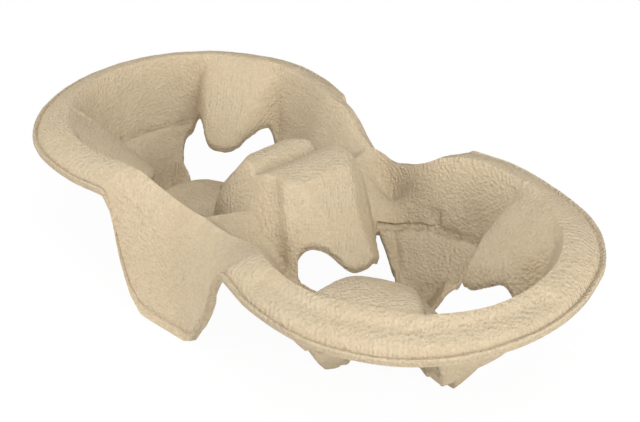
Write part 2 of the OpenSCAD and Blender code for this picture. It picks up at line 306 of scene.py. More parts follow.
def block_z(x, y):
    """The block over the whole carrier, x and y from its middle."""
    out = np.where(y < 0, -y, np.maximum(0, y - back_swell(x)))
    along = np.abs(x)
    fall = np.where(y < 0, FACET_FALL_FRONT, FACET_FALL_BACK)
    facet = FACET_Z - FACET_FALL * (along - FACET_AT[0]) + fall * (FACET_AT[1] - out)
    side = SIDE_Z + SIDE_FALL_ACROSS * (SIDE_AT[1] - out) - SIDE_FALL_ALONG * (along - SIDE_AT[0])
    z = lower(lower(ROOF(x), facet, FACET_JOIN), side, SIDE_JOIN)
    q = WELL_X - along
    return np.where(q < GAP_R, 0, z - flank(q, np.abs(y), BLOCK_SPREAD))


print("the step in the roof is", round(float(block_z(5.0, 0.0) - block_z(-3.2, 0.0)), 1), "mm deep")

# %% [markdown]
# ## The whole upper face inside the ridge
# The pieces so far are joined by taking the highest of them at each place, with
# rounds between them. A boolean union would leave sharp seams there, and pulp has
# wide soft joins where the fibres pile up.

# %% Upper face
KEEL_JOIN, TAB_JOIN, BLOCK_JOIN = 1.0, 4, 3.5


def surface_z(r, a, half):
    """Height of the upper face inside the ridge."""
    x, y = WELL_X + r * np.cos(np.radians(a)), r * np.sin(np.radians(a))
    z = wall_z(r, a, half)
    for leg in LEG_ANGLES:
        z = higher(z, keel_z(r, a, leg, half), KEEL_JOIN)
    z = higher(z, tab_z(r, a, TABS[0], 0), TAB_JOIN)
    z = higher(z, tab_z(r, a, TABS[2], FRONT_RISE if half > 0 else 0), TAB_JOIN)
    return higher(z, block_z(half * x, y), BLOCK_JOIN)


print("the hub is", round(float(surface_z(0.0, 0.0, 1)), 1), "mm high")

# %% [markdown]
# ## Lip and skirts
# Outside the ridge the sheet rolls over to a flat trimmed lip. At the middle of
# both long sides it runs down to the ground as a skirt that the carrier stands
# on, fuller on the left half than on the right. The trimmed line could be traced
# as one path. A few stations by angle keep its ring a true circle, and the skirt
# is drawn only where there is one.

# %% Trimmed edge
EDGE_FULL = [(104, 36.8, 55.2, FLANGE_Z), (110, 30.4, 53.8, FLANGE_Z), (115, 27.6, 53.4, 40),
             (120, 24.6, 53.2, 22), (125, 22.1, 52.2, 9.5), (130, 18.4, 50.8, 2.0),
             (137, 9.8, 48.2, 0), (FOLD, 0, SKIRT_Y, 0)]  # angle, x, y, z
EDGE_SLANT = [(104, 36.8, 55.2, FLANGE_Z), (110, 29.8, 53.8, FLANGE_Z), (115, 24.8, 53, 39.5),
              (120, 20.4, 52.2, 28.4), (125, 15.2, 50.6, 18.8), (130, 10, 49, 10.8),
              (137, 4.2, 47.6, 2.8), (FOLD, 0, SKIRT_Y, 0)]
EDGE_SOFT = 1.6
SKIRT_FROM = 80  # up to this angle the trimmed line is a plain circle
ARC = np.linspace(60, 98, 20)


def on_lip(a):
    """Plan position on the circle of the lip."""
    return WELL_X + FLANGE_R * np.cos(np.radians(a)), FLANGE_R * np.sin(np.radians(a))


def trimmed_edge(a, half):
    """The trimmed line at an angle from 0 to the fold."""
    table = np.array(EDGE_FULL if half < 0 else EDGE_SLANT)
    ring = np.stack([*on_lip(a), np.full_like(a, FLANGE_Z)], -1)
    arc = np.column_stack([ARC, *on_lip(ARC), np.full(len(ARC), FLANGE_Z)])
    rows = np.concatenate([arc, table])
    skirt = np.stack([profile(rows[:, [0, column]], EDGE_SOFT)(a) for column in (1, 2, 3)], -1)
    skirt[a > FOLD - NEAR_ANGLE] = table[-1, 1:]
    return np.where((a < SKIRT_FROM)[..., None], ring, skirt)


print("the skirts meet the ground", SKIRT_Y, "mm from the middle line")

# %% [markdown]
# ## A lip that isn't quite true
# Pulp shrinks as it dries, so the lip stands a little in or out of its circle and
# dips below its plane in places. Noise could do this, but these bends belong to
# this carrier and show in its outline. They are short tables by signed angle,
# positive on the back side.

# %% Bent lip
OUT_SOFT, DOWN_SOFT = 3, 5
LIP_OUT = {1: profile([(-180, 0), (-110, 0), (-88, 0), (-80, .3), (-70, .8), (-50, 1.0), (-32, .6),
                       (-20, 0), (0, -.3), (12, -.6), (22, -.4), (32, .6), (48, 1.0), (60, .5),
                       (68, -.6), (78, -1.0), (86, -.5), (100, .7), (112, .4), (125, 0),
                       (180, 0)], OUT_SOFT),
           -1: profile([(-180, 0), (-100, -.2), (-92, -.4), (-80, 0), (-66, .6), (-52, .2), (-37, -.5),
                        (-20, -.7), (-10, -.3), (0, 0), (9, .5), (20, .4), (33, 0), (50, .1), (67, .1),
                        (85, -.4), (100, -1.0), (112, -1.1), (125, 0), (180, 0)], OUT_SOFT)}
LIP_DOWN = {1: profile([(-180, 0), (-112, 0), (-100, .9), (-85, 1.2), (-45, 1.2), (-28, .5),
                        (-15, 0), (180, 0)], DOWN_SOFT),
            -1: profile([(-180, 0), (85, 0), (100, .6), (112, 1.3), (122, .6), (130, 0),
                         (180, 0)], DOWN_SOFT)}


def edge_point(a, half, back_side):
    """The trimmed line with its bends."""
    signed = a if back_side else -a
    out, down = LIP_OUT[half](signed), LIP_DOWN[half](signed)
    bend = np.stack([out * np.cos(np.radians(a)), out * np.sin(np.radians(a)), -down], -1)
    return trimmed_edge(a, half) + bend


print("the right lip dips by", round(float(LIP_DOWN[1](-60)), 1), "mm at the front")

# %% [markdown]
# ## Section of the lip and the skirt
# From the ridge outwards the sheet falls as a bead with a groove before its rim,
# or as a skirt that drops steeply. Two meshes would need a seam, so one section
# changes from the first to the second as the drop grows. The sheet is measured
# straight down under the lip and straight inwards behind the skirt, so that
# neither gets thin.

# %% Lip and skirt section
LIP_DROP, SKIRT_OVER = 4, 18  # a drop up to 4 mm is all lip, and from 22 mm on all skirt
LIP_ROUND, LIP_FROM, LIP_GROOVE, LIP_GROOVE_WIDTH = 1.7, .875, .13, .05
SKIRT_GROOVE, SKIRT_GROOVE_AT, SKIRT_GROOVE_WIDTH = 1.0, .94, .02
FULL_OVER = 9
SECTION_SOFT = .12
GO = profile([(0, 0), (.2, .45), (.5, .75), (1, 1)], SECTION_SOFT)
FALL = profile([(0, 0), (.2, .14), (.5, .46), (1, 1)], SECTION_SOFT)
FULL_FALL = profile([(0, 0), (.2, .04), (.5, .36), (1, 1)], SECTION_SOFT)
SKIRT_TOP_SHEET = SHEET * 1.3
BACK_OVER = .3


def bump(t, at, width):
    """A smooth bump 1 high at one place of a section."""
    return np.exp(-((t - at) / width) ** 2)


def outer_points(a, t, half, back_side):
    """Upper and lower points of a ray, t from 0 on the ridge to 1 on the trimmed line."""
    well_a = a if back_side else 360 - a
    crest_r, crest_z = ridge_r(well_a, half), ridge_z(well_a, half)
    crest = np.stack([WELL_X + crest_r * np.cos(np.radians(a)), crest_r * np.sin(np.radians(a))], -1)
    edge = edge_point(a, half, back_side)
    drop = crest_z - edge[..., 2]
    skirt = fade(drop, LIP_DROP, SKIRT_OVER)
    full = fade(FOLD - a, 0, FULL_OVER) if half < 0 and back_side else 0
    go = (1 - skirt) * t + skirt * GO(t)
    lip = np.minimum(1, t / LIP_FROM) ** LIP_ROUND + LIP_GROOVE * bump(t, LIP_FROM, LIP_GROOVE_WIDTH)
    fall = (1 - skirt) * lip + skirt * (FALL(t) * (1 - full) + FULL_FALL(t) * full)
    span = edge[..., :2] - crest
    out = span / np.linalg.norm(span, axis=-1, keepdims=True)
    top = np.concatenate([crest + span * go[..., None], (crest_z - drop * fall)[..., None]], -1)
    groove = SKIRT_GROOVE * skirt * bump(t, SKIRT_GROOVE_AT, SKIRT_GROOVE_WIDTH)
    top[..., :2] -= out * groove[..., None]
    behind = SHEET * skirt * np.minimum(1, t / BACK_OVER)
    lip_sheet = CREST_SHEET + (EDGE_SHEET - CREST_SHEET) * t
    under = (1 - skirt) * lip_sheet + skirt * SKIRT_TOP_SHEET * (1 - t)
    low = top - np.concatenate([out * behind[..., None], under[..., None]], -1)
    if not back_side:
        top[..., 1] *= -1
        low[..., 1] *= -1
    return top, low


first_ray = outer_points(np.zeros(2), np.array([0, 1]), 1, True)[0]
print("the right end falls from", first_ray[0, 2].round(1), "to", first_ray[1, 2].round(1), "mm")

# %% [markdown]
# ## A net of points over each half
# The fine face needs points about a millimetre apart. A square grid would cut
# the rings into steps, so rays fan out from the axis of each well. Most of them
# end at the trimmed edge. The rays that point at the block end on the middle
# line of the carrier, where the two halves are joined later.

# %% Rays
STEP, MIDDLE_STEP = 1.0, 1 / 1.1  # degrees between rays
INNER = np.concatenate([np.linspace(1.5, 36.5, 34), [37.2, 37.7, 38.2, 38.5, LEDGE_EDGE]])
CREST_T = np.linspace(0, 1, 10)[1:]
OUTER_T = np.concatenate([np.linspace(0, .84, 12)[1:], [LIP_FROM, .91, SKIRT_GROOVE_AT, .965, 1]])
CROSS = profile([(FOLD, WAIST_Y), (149.5, 27), (154, 20), (157, 16), (159.5, 13), (164.5, 9.8),
                 (170, 6.5), (175, 3.3), (180, 0)], .8)


def angles():
    side = np.linspace(0, FOLD, int(round(FOLD / STEP)) + 1)
    middle = np.linspace(FOLD, 180, int(round((180 - FOLD) / MIDDLE_STEP)) + 1)[1:]
    up = np.concatenate([side, middle])
    return np.concatenate([up, 360 - up[-2:0:-1]])


def reaches_lip(a):
    return mirrored(a) < FOLD + NEAR_ANGLE


def seam_y(a):
    """Where a ray meets the middle line of the carrier."""
    y = np.where(mirrored(a) > 180 - NEAR_ANGLE, 0, np.where(reaches_lip(a), WAIST_Y, CROSS(mirrored(a))))
    return np.where(a > 180, -y, y)


print(len(angles()), "rays for each well, of which", int(reaches_lip(angles()).sum()), "reach the lip")

# %% Inner part of the net
SLOPE_REACH = .5
SHEETS_AT = [30, LEDGE_R, LEDGE_EDGE]
SHEETS_DEEP, END_LEG_DEEP = [1.35, 1.8, 2.4], [1.3, 1.5, 1.7]  # most sheets that a slope measures downwards
END_LEG_HALF, STEEPEST = 35, 4


def slope(x, y, half):
    """How steeply the upper face falls or climbs at a place."""
    d = SLOPE_REACH
    along = (surface_z(*polar(x + d, y), half) - surface_z(*polar(x - d, y), half)) / (2 * d)
    across = (surface_z(*polar(x, y + d), half) - surface_z(*polar(x, y - d), half)) / (2 * d)
    return np.minimum(np.hypot(along, across), STEEPEST)


def inner_net(half):
    """Upper and lower points from the axis to the ridge or the middle line."""
    a = angles()[:, None]
    c, s = np.cos(np.radians(a)), np.sin(np.radians(a))
    to_lip = reaches_lip(a)
    crest_r = LEDGE_EDGE + (ridge_r(a, half) - LEDGE_EDGE) * CREST_T
    far_x = np.where(to_lip, crest_r * c, LEDGE_EDGE * c * (1 - CREST_T) - CREST_T * WELL_X)
    far_y = np.where(to_lip, crest_r * s, LEDGE_EDGE * s * (1 - CREST_T) + CREST_T * seam_y(a))
    x, y = np.concatenate([INNER * c, far_x], 1), np.concatenate([INNER * s, far_y], 1)
    r, turn = polar(x, y)
    z = surface_z(r, turn, half)
    most = np.interp(r, SHEETS_AT, SHEETS_DEEP)
    if half > 0:
        end_leg = np.abs(turned(turn, 0)) < END_LEG_HALF
        most = np.where(end_leg, np.interp(r, SHEETS_AT, END_LEG_DEEP), most)
    depth = SHEET * np.minimum(most, np.sqrt(1 + slope(x, y, half) ** 2))
    on_ridge = np.zeros_like(z, bool)
    on_ridge[:, -1] = to_lip[:, 0]
    z = np.where(on_ridge, np.broadcast_to(ridge_z(a, half), z.shape), z)
    depth = np.where(on_ridge, CREST_SHEET, depth)
    return np.stack([WELL_X + x, y, z], -1), np.stack([WELL_X + x, y, np.maximum(0, z - depth)], -1)


print("the inner net of a well has", inner_net(1)[0].shape[:2], "rays and rings")


# %% Both parts of one half
def quads(ids, rows, wrap):
    """Two triangles for each square between a row of points and the next one."""
    following = (rows + 1) % len(ids) if wrap else rows + 1
    a, b = ids[rows][:, :-1].ravel(), ids[rows][:, 1:].ravel()
    c, d = ids[following][:, 1:].ravel(), ids[following][:, :-1].ravel()
    return np.concatenate([np.stack([a, b, c], 1), np.stack([a, c, d], 1)])


def half_sheet(half):
    """Upper points, lower points and triangles of one half."""
    inner_top, inner_low = inner_net(half)
    rays, rings = inner_top.shape[:2]
    centre = np.array([[WELL_X, 0, HUB_Z]])
    tops, lows = [centre, inner_top.reshape(-1, 3)], [centre - [0, 0, SHEET], inner_low.reshape(-1, 3)]
    ids = 1 + np.arange(rays * rings).reshape(rays, rings)
    fan = np.stack([np.zeros(rays, int), ids[:, 0], np.roll(ids[:, 0], -1)], 1)
    a = angles()
    to_lip = np.where(reaches_lip(a))[0]
    order = np.concatenate([to_lip[a[to_lip] > 180], to_lip[a[to_lip] <= 180]])
    for ray in order:
        at = np.full(len(OUTER_T), mirrored(a[ray]))
        ray_top, ray_low = outer_points(at, OUTER_T, half, a[ray] <= 180)
        tops.append(ray_top)
        lows.append(ray_low)
    outer_ids = 1 + rays * rings + np.arange(len(order) * len(OUTER_T)).reshape(len(order), -1)
    outer_ids = np.concatenate([ids[order, -1][:, None], outer_ids], 1)
    faces = np.concatenate([fan, quads(ids, np.arange(rays), True),
                            quads(outer_ids, np.arange(len(order) - 1), False)])
    top, low = np.concatenate(tops), np.concatenate(lows)
    low[:, 2] = np.maximum(low[:, 2], 0)
    side = np.array([half, 1, 1])
    return top * side, low * side, faces if half > 0 else faces[:, ::-1]


right, left = half_sheet(1), half_sheet(-1)
top = np.concatenate([right[0], left[0]])
low = np.concatenate([right[1], left[1]])
faces = np.concatenate([right[2], left[2] + len(right[0])])
print("net:", len(top), "points,", len(faces), "triangles")

# %% [markdown]
# ## One sheet out of two halves
# The mould has no seam, so the two halves must share their points on the middle
# line. Blender could merge them by distance, which might also close small gaps
# elsewhere. Both halves list these points in the same order, so each pair is
# joined by its number, at the middle of its two heights.

# %% Join the halves
ON_MIDDLE = 1e-6
same = np.arange(len(top))
on_middle = np.where(np.abs(top[:len(right[0]), 0]) < ON_MIDDLE)[0]
for i in on_middle:
    twin = i + len(right[0])
    same[twin] = i
    top[i] = (top[i] + top[twin]) / 2
    low[i] = (low[i] + low[twin]) / 2
faces = same[faces]
print("joined", len(on_middle), "pairs of points on the middle line")

# %% [markdown]
# ## The outline of a punched opening
# A die cuts three openings round each well, straight down. What is left of the
# wall between two of them is a leg, and the tongue in an opening is the tip of a
# tab. Curves could be traced for all six. Most of their sides are alike, so an
# opening is made of two sides that each start beside the tongue and end at the
# hub, with corners cut off twice to round them.

# %% Sides of the openings
TONGUE_SIDE = [(17.5, 2.6), (18.6, 4.8), (20.8, 6.8), (23.3, 8.2), (25.8, 9.8), (28.3, 11.4)]
HUB_SIDE = [(25.0, 18.6), (20.4, 17.2), (17.3, 14.8), (15.7, 11), (15.0, 6)]
SIDES = {
    "usual": TONGUE_SIDE + [(30.6, 13.2), (32.2, 15.0), (32.4, 17.2), (30.2, 19.4), (25.4, 19.2),
                            (20.6, 16.2), (17.7, 13.6), (15.6, 11), (15.2, 6.5)],
    "full": [(17.3, 3.0), (18.6, 5.4), (20.8, 7.5), (23.3, 8.8), (25.8, 10.3), (28.3, 11.8),
             (30.6, 13.2), (33.0, 14.9), (33.2, 16.8), (30.2, 19.0)] + HUB_SIDE,
    "wide tongue": [(17.0, 3.8), (18.3, 7.2), (20.0, 9.6), (22.0, 11.8), (24.5, 14.2), (27.0, 16.2),
                    (29.6, 18.2), (31.6, 19.8), (30.8, 21.2), (26.0, 20.9), (22.0, 20.1),
                    (18.6, 17.7), (16.7, 15.0), (15.7, 11), (15.0, 6)],
    "short": [(17.3, 3.4), (18.8, 5.4), (21.0, 6.7), (24.0, 8.2), (26.6, 10.2), (28.4, 12.4),
              (29.4, 14.6), (30.2, 16.8), (28.4, 17.6), (25.4, 16.0), (22.2, 13.8), (19.4, 12.0),
              (17.2, 11.2), (15.6, 9.5), (15.0, 6)],
    "near": [(18.8, 2.6), (20.0, 5.0), (21.6, 6.8), (24.3, 8.6), (27.0, 10.2), (29.2, 11.9),
             (30.6, 13.6), (31.4, 15.6), (31.0, 17.6), (28.8, 18.8)] + HUB_SIDE,
    "deep": TONGUE_SIDE + [(31.0, 13.0), (33.2, 14.6), (33.4, 16.8), (29.8, 19.0), (25.0, 18.0),
                           (20.4, 14.6), (17.8, 12.0), (15.2, 13.2), (12.2, 11.6), (11.8, 8.0),
                           (13.2, 4.6)]}
CUTS = {(-1, 60): ("usual", "full"), (1, 180): ("wide tongue", "short"), (1, 60): ("near", "deep"),
        (1, 300): ("deep", "deep")}
TIP_BACK, HUB_CUT, ROUNDS = .3, 14.4, 2


def opening(half, tab):
    """The outline of one opening, by q out from the well and s to the side."""
    first, second = CUTS.get((half, tab), ("usual", "usual"))
    tip = (SIDES[first][0][0] + SIDES[second][0][0]) / 2 - TIP_BACK
    loop = [(tip, 0)] + SIDES[second] + [(HUB_CUT, 0)] + [(q, -s) for q, s in SIDES[first][::-1]]
    loop = np.array(loop, float)
    for _ in range(ROUNDS):
        after = np.roll(loop, -1, 0)
        loop = np.stack([loop * .75 + after * .25, loop * .25 + after * .75], 1).reshape(-1, 2)
    return loop


print("an opening is a loop of", len(opening(-1, 180)), "points")

# %% [markdown]
# ## What the die takes away
# A boolean cut with a die would work on a solid, but this is still an open net.
# So each point is given its distance to the nearest outline, negative inside it,
# and the net is cut where that is zero. The pulp tears a little, so noise of a
# tenth of a millimetre or so makes the line wander. One tongue has curled down
# under a cup: it ends sooner in plan, and its tip hangs.

# %% Distance to the outlines
FAR = 1e9


def distance_to(points, loop):
    """Distance to a closed outline, negative inside it."""
    best = np.full(len(points), FAR)
    inside = np.zeros(len(points), bool)
    for a, b in zip(loop, np.roll(loop, -1, 0)):
        ab = b - a
        t = np.clip(((points - a) @ ab) / (ab @ ab), 0, 1)
        best = np.minimum(best, np.linalg.norm(points - a - t[:, None] * ab, axis=1))
        crosses = (a[1] > points[:, 1]) != (b[1] > points[:, 1])
        with np.errstate(divide="ignore", invalid="ignore"):
            at = a[0] + (points[:, 1] - a[1]) * (b[0] - a[0]) / (b[1] - a[1])
        inside ^= crosses & (points[:, 0] < at)
    return np.where(inside, -best, best)


def wander(points, size, seed):
    """Even noise at each point, about -1 to 1, with features of the given size."""
    shift = Vector((seed * 17.3, seed * 5.1, seed * 9.7))
    return np.array([noise.noise(Vector(p) / size + shift) for p in points])


hub_point = distance_to(np.array([[10.0, 0.0]]), opening(-1, 180))[0]
print("a point 10 mm from the axis stays, as it is", hub_point.round(1), "mm from the cut")

# %% Mark what is punched away
NEAR_CENTRE, NEAR_REACH = 23, 24
CURLED = (1, 60)
TURN_IN, TURN_DOWN, TURN_MOST = 2.8, 3.6, 2.2
TURN_OVER, TURN_ROOT, TURN_FADE = 1.2, 29.5, 6
TONGUE_FROM, TONGUE_APEX, TONGUE_SPREAD = 16.8, 10, .78
WANDERS = [(.14, 2.6, 1), (.06, .9, 2)]  # distance, size and seed
WANDER_BAND = 3  # only this close to the cut does its line matter
keep = np.full(len(top), FAR)
curl = np.zeros(len(top))
for half in (1, -1):
    x, y = half * top[:, 0] - WELL_X, top[:, 1]
    for tab in TABS:
        u = math.radians(tab)
        q, s = x * math.cos(u) + y * math.sin(u), -x * math.sin(u) + y * math.cos(u)
        near = np.hypot(q - NEAR_CENTRE, s) < NEAR_REACH
        q, s = q[near], s[near]
        d = distance_to(np.stack([q, s], 1), opening(half, tab))
        if (half, tab) == CURLED:
            tongue = (q > TONGUE_FROM) & (np.abs(s) < (q - TONGUE_APEX) * TONGUE_SPREAD)
            short = TURN_IN * fade(TURN_ROOT - q, 0, TURN_FADE) * tongue
            d = d - short
            curl[near] = TURN_DOWN * np.clip(1 - d / TURN_OVER, 0, TURN_MOST) * short / TURN_IN
        keep[near] = np.minimum(keep[near], d)
near = np.abs(keep) < WANDER_BAND
keep[near] += sum(depth * wander(top[near] * [1, 1, 0], size, seed) for depth, size, seed in WANDERS)
top[:, 2] -= curl
low[:, 2] -= curl
print("points punched away:", int((keep < 0).sum()))

# %% Cut the net along the outlines
JUMP = 7.5  # a larger step in height is the gap under a tongue, and no slope
NEAR_END = .02


def cut(rows, faces, level):
    """The part of a net of triangles where level is positive. A row is an upper and a lower point."""
    made, new_rows = {}, []

    def crossing(i, j):
        if (i, j) not in made:
            t = min(max(level[i] / (level[i] - level[j]), NEAR_END), 1 - NEAR_END)
            far = rows[j].copy()
            if abs(far[2] - rows[i][2]) > JUMP:
                far[[2, 5]] = rows[i][[2, 5]]
            made[(i, j)] = made[(j, i)] = len(rows) + len(new_rows)
            new_rows.append(rows[i] * (1 - t) + far * t)
        return made[(i, j)]

    stays = level > 0
    score = stays[faces].sum(1)
    trimmed = []
    for tri in faces[(score == 1) | (score == 2)]:
        alone = stays[tri].sum() == 1
        odd = int(np.argmax(stays[tri]) if alone else np.argmin(stays[tri]))
        i, j, k = np.roll(tri, -odd)
        if alone:
            trimmed.append((i, crossing(i, j), crossing(i, k)))
        else:
            a, b = crossing(j, i), crossing(k, i)
            trimmed += [(j, k, b), (j, b, a)]
    return np.concatenate([rows, new_rows]), np.concatenate([faces[score == 3], trimmed])


both, faces = cut(np.concatenate([top, low], 1), faces, keep)
used, faces = np.unique(faces, return_inverse=True)
faces = faces.reshape(-1, 3)
top, low = both[used, :3], both[used, 3:]
print("after punching:", len(top), "points,", len(faces), "triangles")

# %% [markdown]
# ## Pulp unevenness
# Dried pulp is never quite flat: its face swells and sinks by a tenth or two of a
# millimetre. Bump in the material would not show in its outline, and a displace
# modifier would move both faces alike. Moving the upper points along their
# normals, on two scales, keeps the feet flat on the ground.

# %% Uneven face
SWELLS = [(.22, 9, 3), (.10, 3.2, 4)]  # height, size and seed
CALM_UP_TO = 3  # the feet stay flat up to this height
TINY = 1e-9  # keeps a division from failing


def normals(points, faces):
    n = np.zeros_like(points)
    a, b, c = (points[faces[:, k]] for k in range(3))
    cross = np.cross(b - a, c - a)
    for k in range(3):
        np.add.at(n, faces[:, k], cross)
    return n / np.maximum(np.linalg.norm(n, axis=1, keepdims=True), TINY)


n_top = normals(top, faces)
swell = sum(height * wander(top, size, seed) for height, size, seed in SWELLS)
top = top + n_top * (swell * fade(top[:, 2], CALM_UP_TO, CALM_UP_TO))[:, None]
print("the face swells by", swell.max().round(2), "and sinks by", -swell.min().round(2), "mm")

# %% [markdown]
# ## Dents and creases
# The soft sheet was marked as it left the mould: a deep hollow at the waist, a
# torn line where the mould ring met the legs, a crease down one leg, short ribs
# at the root of one tab, and a shallow channel round the front of the right ring.
# Sculpting them would tie the marks to one mesh. A hollow is a soft pit that
# takes both faces down, and a crease is a groove along a short line that only
# marks the upper face. A narrow crease is torn, so its depth varies.

# %% Hollows
HOLLOWS = [((12.5, 34), (7.5, 4.4), 9.0), ((21, 27), (5, 4), 1.2), ((-50, 44.5), (3, 3), .6)]
DEEP_FROM = 1
WAIST_LINE, WAIST_SLANT, WAIST_FADE = 36, .17, 2.6  # a deep hollow ends where the ridge begins
for (x, y), (reach_x, reach_y), depth in HOLLOWS:
    dent = depth * np.exp(-((top[:, 0] - x) / reach_x) ** 2 - ((top[:, 1] - y) / reach_y) ** 2)
    if depth > DEEP_FROM:
        dent *= fade(WAIST_LINE + WAIST_SLANT * top[:, 0] - top[:, 1], 0, WAIST_FADE)
    top[:, 2] -= dent
    low[:, 2] -= dent
print(len(HOLLOWS), "hollows, the deepest", max(depth for _, _, depth in HOLLOWS), "mm deep")


# %% Creases
def near_line(p, line):
    """Distance in plan from each point to a line of points."""
    best = np.full(len(p), FAR)
    for a, b in zip(line[:-1], line[1:]):
        ab = b - a
        k = np.clip(((p[:, :2] - a) @ ab) / (ab @ ab), 0, 1)
        best = np.minimum(best, np.linalg.norm(p[:, :2] - a - k[:, None] * ab, axis=1))
    return best


def ring_line(radius, start, end, half):
    a = np.radians(np.linspace(start, end, 24))
    return np.column_stack([half * (WELL_X + radius * np.cos(a)), radius * np.sin(a)])


RIB_AT, RIB_STEP, RIB_REACH = np.array([-77, -35.5]), np.array([1.9, 2.1]), np.array([-2.8, 2.4])
CREASES = [(ring_line(37.8, 92, 146, 1), .7, 1.7), (ring_line(39.6, 116, 146, 1), .6, 1.3),
           (ring_line(37.8, -14, 34, -1), .7, 1.0),
           ([(22.8, 24.6), (25.9, 23.4), (28.6, 22.4)], .9, 1.1),
           *[(RIB_AT + k * RIB_STEP + RIB_REACH * np.array([[-1], [1]]), .8, .7) for k in (-1, 0, 1, 2)],
           (ring_line(49.8, -98, 2, 1), 2.8, 1.3),
           ([(3.7, -11), (7.7, -15), (13.3, -18.7), (17, -20)], 2.0, 1.3),
           ([(60.5, 44.2), (66, 42.4), (70, 39.6)], .9, .6)]  # line, width and depth
CREASE_REACH = 4  # a crease has no depth left at four times its width
TORN_UP_TO, TEAR, TEAR_SIZE, TEAR_SEED = 1, .9, 3.5, 6
SHALLOWEST, DEEPEST = .15, 2
for line, width, depth in CREASES:
    reach = near_line(top, np.array(line, float))
    close = reach < CREASE_REACH * width
    ragged = np.ones(close.sum())
    if width < TORN_UP_TO:
        ragged = np.clip(1 + TEAR * wander(top[close], TEAR_SIZE, TEAR_SEED), SHALLOWEST, DEEPEST)
    top[close] -= n_top[close] * (depth * ragged * np.exp(-(reach[close] / width) ** 2))[:, None]
low[:, 2] = np.maximum(low[:, 2], 0)
print(len(CREASES), "creases and ribs")

# %% [markdown]
# ## Cut faces
# The sheet now has an upper and a lower face and needs its edge, which shows the
# torn inside of the pulp all round. A solidify modifier would give a straight
# wall. Here three rows of faces run from the upper to the lower face, and the
# points between them bulge outwards unevenly, as torn fibres do.

# %% Find the edge
directed = dict.fromkeys((i, j) for tri in faces.tolist() for i, j in zip(tri, tri[1:] + tri[:1]))
rim = [edge for edge in directed if edge[::-1] not in directed]
outwards = np.zeros((len(top), 2))
for i, j in rim:
    along = top[j, :2] - top[i, :2]
    out = np.array([along[1], -along[0]]) / max(np.linalg.norm(along), TINY)
    outwards[i] += out
    outwards[j] += out
outwards /= np.maximum(np.linalg.norm(outwards, axis=1, keepdims=True), TINY)
print("pieces of cut edge:", len(rim))

# %% Close the sheet
ROWS, BULGE = 3, .30
TORN_FIBRES = [(.25, 1.1), (.12, .5)]  # depth and size
column, torn_points = {}, []
for i in sorted({i for edge in rim for i in edge}):
    column[i] = [i]
    for row in range(1, ROWS):
        t = row / ROWS
        p = top[i] * (1 - t) + low[i] * t
        out = BULGE * math.sin(math.pi * t)
        out += sum(depth * noise.noise(Vector(p) / size) for depth, size in TORN_FIBRES)
        column[i].append(2 * len(top) + len(torn_points))
        torn_points.append(p + [*(outwards[i] * out), 0])
    column[i].append(i + len(top))
cut_faces = []
for i, j in rim:
    for row in range(ROWS):
        cut_faces.append((column[j][row], column[i][row], column[i][row + 1]))
        cut_faces.append((column[j][row], column[i][row + 1], column[j][row + 1]))
points = np.concatenate([top, low, torn_points])
all_faces = np.concatenate([faces, faces[:, ::-1] + len(top), cut_faces])
print("closed sheet:", len(points), "points,", len(all_faces), "triangles")

# %% [markdown]
# ## Stay inside the measured box
# The dents and the bent lip may reach past the measured part by a few tenths of a
# millimetre, and the whole size must stay. Scaling the sheet would move all of
# it. So only the last two millimetres before each end are squeezed.

# %% Hold the sheet in its box
MARGINS, SPARE = (2.0, 1.8, 1.2), .01


def held(values, start, limit):
    """Squeezes what lies past start, so that the furthest value meets the limit."""
    reach = np.abs(values).max()
    past = np.maximum(0, np.abs(values) - start) * min(1, (limit - start) / (reach - start))
    return np.sign(values) * (np.minimum(np.abs(values), start) + past)


for axis, margin in enumerate(MARGINS):
    limit = box_before[1][axis] / MM - SPARE
    points[:, axis] = held(points[:, axis], limit - margin, limit)
points[:, 2] = np.maximum(points[:, 2], 0)
print("held to", np.round(np.abs(points).max(0), 2).tolist(), "mm")

# %% [markdown]
# ## Where the wire mesh printed
# The mould's mesh left its weave where the pulp was pressed hardest: on the ridge, the lip, the tabs and
# the block. The slopes of a well are softer, and their colour is a tenth darker. This could be painted by
# hand, but the formulas already know each place, so every point gets a strength of print. That strength
# also sets the painted shade and dust in the holes of the mesh. Another number marks the torn edge, which
# gets painted shade.

# %% Print strength
RIDGE_BAND, TAB_BAND = (-4, 3), (1, 2.5)  # start of the fade and its length
HUB_SMOOTH = 14


def print_strength(p):
    """1 on the ridge, lip, tabs and block, and 0 on the soft slopes of a well."""
    side = np.where(p[:, 0] >= 0, 1, -1)
    r, a = polar(side * p[:, 0] - WELL_X, p[:, 1])
    strength = np.zeros(len(p))
    for half in (1, -1):
        m = side == half
        beyond = fade(r[m] - ridge_r(a[m], half), *RIDGE_BAND)
        raised = fade(p[m, 2] - wall_z(r[m], a[m], half), *TAB_BAND)
        strength[m] = np.maximum(beyond, raised * (r[m] > HUB_SMOOTH))
    return strength


woven = print_strength(points)
torn = np.zeros(len(points))
torn[2 * len(top):] = 1
print("share of the points with a full print:", (woven == 1).mean().round(2))

# %% [markdown]
# ## The sheet in Blender
# All points and triangles are ready, so the mesh is made from them in one step.
# Modifiers or edit mode would only repeat the work. It is smooth, apart from the
# edges where the faces meet at more than 48 degrees, as at the punched rim.

# %% Make the mesh
SHARP_FROM = 48
mesh = bpy.data.meshes.new("pulp_sheet")
mesh.from_pydata((points * MM).tolist(), [], all_faces.tolist())
mesh.validate()
mesh.update()
sheet = bpy.data.objects.new("pulp_sheet", mesh)
bpy.context.scene.collection.objects.link(sheet)
mesh.shade_smooth()
for name, values in (("woven", woven), ("torn", torn)):
    mesh.attributes.new(name, "FLOAT", "POINT").data.foreach_set("value", values.astype(np.float32))
mesh.set_sharp_from_angle(angle=math.radians(SHARP_FROM))
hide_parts("carrier")
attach(sheet, "root")
print("pulp_sheet has", len(mesh.polygons), "faces")

